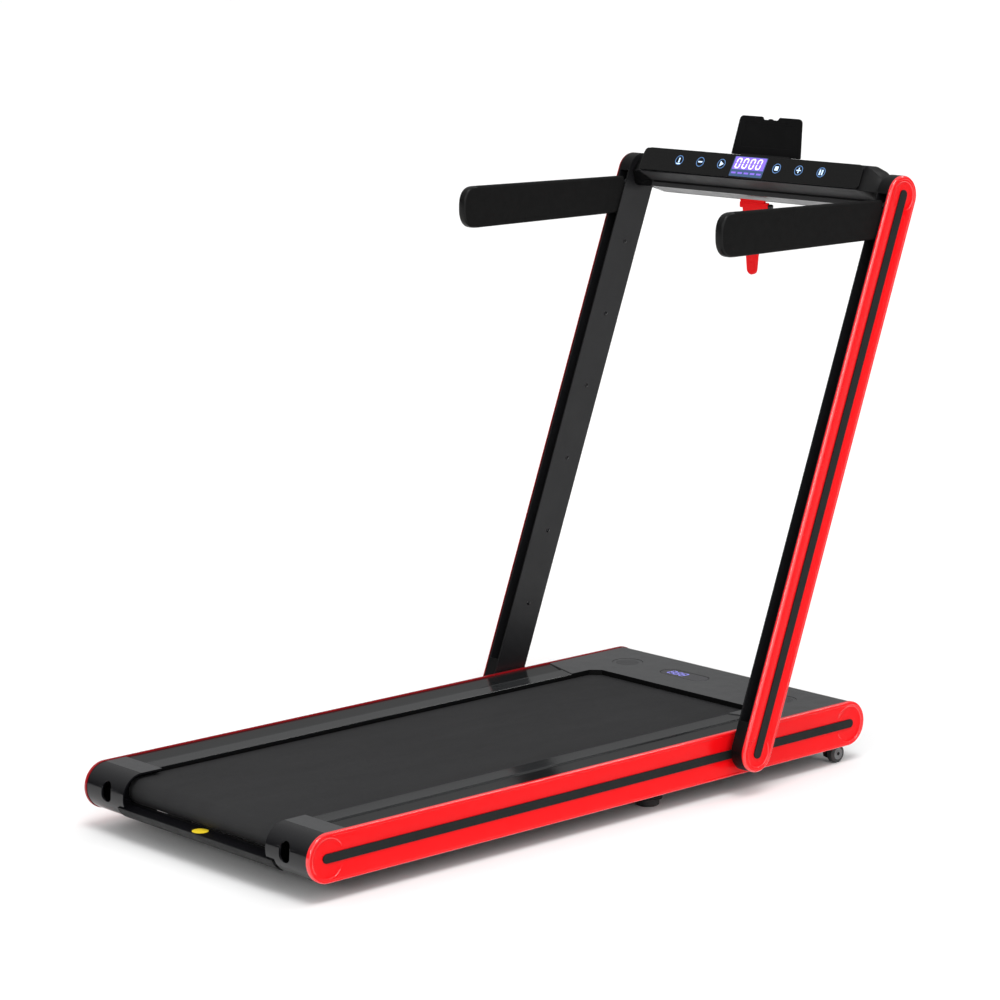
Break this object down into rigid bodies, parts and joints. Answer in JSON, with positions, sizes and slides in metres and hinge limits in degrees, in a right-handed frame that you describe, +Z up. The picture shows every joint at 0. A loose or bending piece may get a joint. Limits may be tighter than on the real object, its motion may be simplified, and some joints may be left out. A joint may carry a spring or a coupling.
{
  "type": "folding walking treadmill",
  "caption": "Flat motorised walking treadmill with red side trims, leaning uprights that fold down beside the deck, a console with touch icons, foam handles and a phone holder.",
  "frame": {"origin": "on the floor, under the middle of the machine's bounding box", "axes": "+Z up, +Y from the rear roller towards the motor and the uprights, +X to the right of a person walking on it"},
  "size_m": [0.679, 1.3792, 1.1472],
  "materials": {
    "red_gloss": "high gloss red plastic",
    "charcoal_inlay": "matte charcoal",
    "belt_rubber": "matte, finely textured",
    "rail_plastic": "glossy dark grey",
    "cover_plastic": "satin dark grey",
    "black_plastic": "semi-gloss black",
    "frame_paint": "satin black powder coat",
    "foam": "matte foam",
    "steel": "satin steel",
    "board_wood": "plain fibreboard",
    "rubber": "matte",
    "panel_gloss": "mirror gloss black"
  },
  "bodies": {
    "deck": {"belly_pan": "black_plastic", "deck_board": "board_wood", "deck_display": "panel_gloss", "drive_belt": "rubber", "end_cap_left": "cover_plastic", "end_cap_right": "cover_plastic", "foot_middle_left": "rubber", "foot_middle_right": "rubber", "foot_rear_left": "rubber", "foot_rear_right": "rubber", "front_cross_member": "frame_paint", "front_roller_shaft": "steel", "motor": "frame_paint", "motor_controller": "black_plastic", "motor_cover": "cover_plastic", "pivot_bracket_left": "frame_paint", "pivot_bracket_right": "frame_paint", "power_inlet": "black_plastic", "rail_left": "rail_plastic", "rail_right": "rail_plastic", "rear_cover": "black_plastic", "rear_cross_member": "frame_paint", "rear_roller_shaft": "steel", "side_beam_left": "frame_paint", "side_beam_right": "frame_paint", "side_inlay_left": "charcoal_inlay", "side_inlay_right": "charcoal_inlay", "side_strip_left": "red_gloss", "side_strip_right": "red_gloss", "speaker_left": "black_plastic", "speaker_right": "black_plastic", "walking_belt": "belt_rubber", "wheel_bracket_left": "black_plastic", "wheel_bracket_right": "black_plastic"},
    "front_roller": {"front_roller": "steel", "roller_pulley": "black_plastic"},
    "rear_roller": {"rear_roller": "steel"},
    "motor_rotor": {"motor_pulley": "black_plastic"},
    "transport_wheel_left": {"transport_wheel_left": "rubber"},
    "transport_wheel_right": {"transport_wheel_right": "rubber"},
    "power_switch": {"power_switch": "black_plastic"},
    "tension_bolt_left": {"tension_bolt_left": "steel"},
    "tension_bolt_right": {"tension_bolt_right": "steel"},
    "folding_frame": {"console_shell": "black_plastic", "console_base": "black_plastic", "console_panel": "panel_gloss", "upright_left": "frame_paint", "upright_right": "frame_paint", "upright_strip_left": "red_gloss", "upright_strip_right": "red_gloss", "upright_inlay_left": "charcoal_inlay", "upright_inlay_right": "charcoal_inlay", "pivot_hub_left": "steel", "pivot_hub_right": "steel"},
    "phone_holder": {"phone_holder": "black_plastic"},
    "safety_key": {"safety_key": "red_gloss"},
    "handle_left": {"handle_core_left": "steel", "handle_grip_left": "foam"},
    "handle_right": {"handle_core_right": "steel", "handle_grip_right": "foam"}
  },
  "joints": [
    {"name": "frame_fold", "type": "hinge", "parent": "deck", "child": "folding_frame", "pos_m": [0, 0.29093, 0.081], "axis": [1, 0, 0], "range_deg": [0, 110.5]},
    {"name": "handle_fold_left", "type": "hinge", "parent": "folding_frame", "child": "handle_left", "pos_m": [-0.3204, 0.63028, 0.98864], "axis": [1, 0, 0], "range_deg": [0, 68.3]},
    {"name": "handle_fold_right", "type": "hinge", "parent": "folding_frame", "child": "handle_right", "pos_m": [0.3204, 0.63028, 0.98864], "axis": [1, 0, 0], "range_deg": [0, 68.3]},
    {"name": "phone_holder_tilt", "type": "hinge", "parent": "folding_frame", "child": "phone_holder", "pos_m": [0, 0.65378, 1.07433], "axis": [1, 0, 0], "range_deg": [-55, 0]},
    {"name": "safety_key_pull", "type": "slide", "parent": "folding_frame", "child": "safety_key", "axis": [0, 0, -1], "range_m": [0, 0.03]},
    {"name": "front_roller_spin", "type": "hinge", "parent": "deck", "child": "front_roller", "pos_m": [0, 0.44293, 0.0798], "axis": [1, 0, 0], "continuous": true},
    {"name": "rear_roller_spin", "type": "hinge", "parent": "deck", "child": "rear_roller", "pos_m": [0, -0.64207, 0.0798], "axis": [1, 0, 0], "continuous": true},
    {"name": "motor_spin", "type": "hinge", "parent": "deck", "child": "motor_rotor", "pos_m": [0, 0.52493, 0.0725], "axis": [1, 0, 0], "continuous": true},
    {"name": "transport_wheel_spin_left", "type": "hinge", "parent": "deck", "child": "transport_wheel_left", "pos_m": [-0.277, 0.56493, 0.017], "axis": [1, 0, 0], "continuous": true},
    {"name": "transport_wheel_spin_right", "type": "hinge", "parent": "deck", "child": "transport_wheel_right", "pos_m": [0.277, 0.56493, 0.017], "axis": [1, 0, 0], "continuous": true},
    {"name": "power_switch_rock", "type": "hinge", "parent": "deck", "child": "power_switch", "pos_m": [-0.147, 0.60293, 0.0725], "axis": [1, 0, 0], "range_deg": [-14, 0]},
    {"name": "tension_bolt_turn_left", "type": "hinge", "parent": "deck", "child": "tension_bolt_left", "pos_m": [-0.235, -0.03507, 0.0798], "axis": [0, 1, 0], "continuous": true},
    {"name": "tension_bolt_turn_right", "type": "hinge", "parent": "deck", "child": "tension_bolt_right", "pos_m": [0.235, -0.03507, 0.0798], "axis": [0, 1, 0], "continuous": true}
  ],
  "couplings": [
    {"joint": "handle_fold_left", "follows": "frame_fold", "ratio": 0.6181},
    {"joint": "handle_fold_right", "follows": "frame_fold", "ratio": 0.6181},
    {"joint": "rear_roller_spin", "follows": "front_roller_spin", "ratio": 1},
    {"joint": "motor_spin", "follows": "front_roller_spin", "ratio": 2}
  ]
}
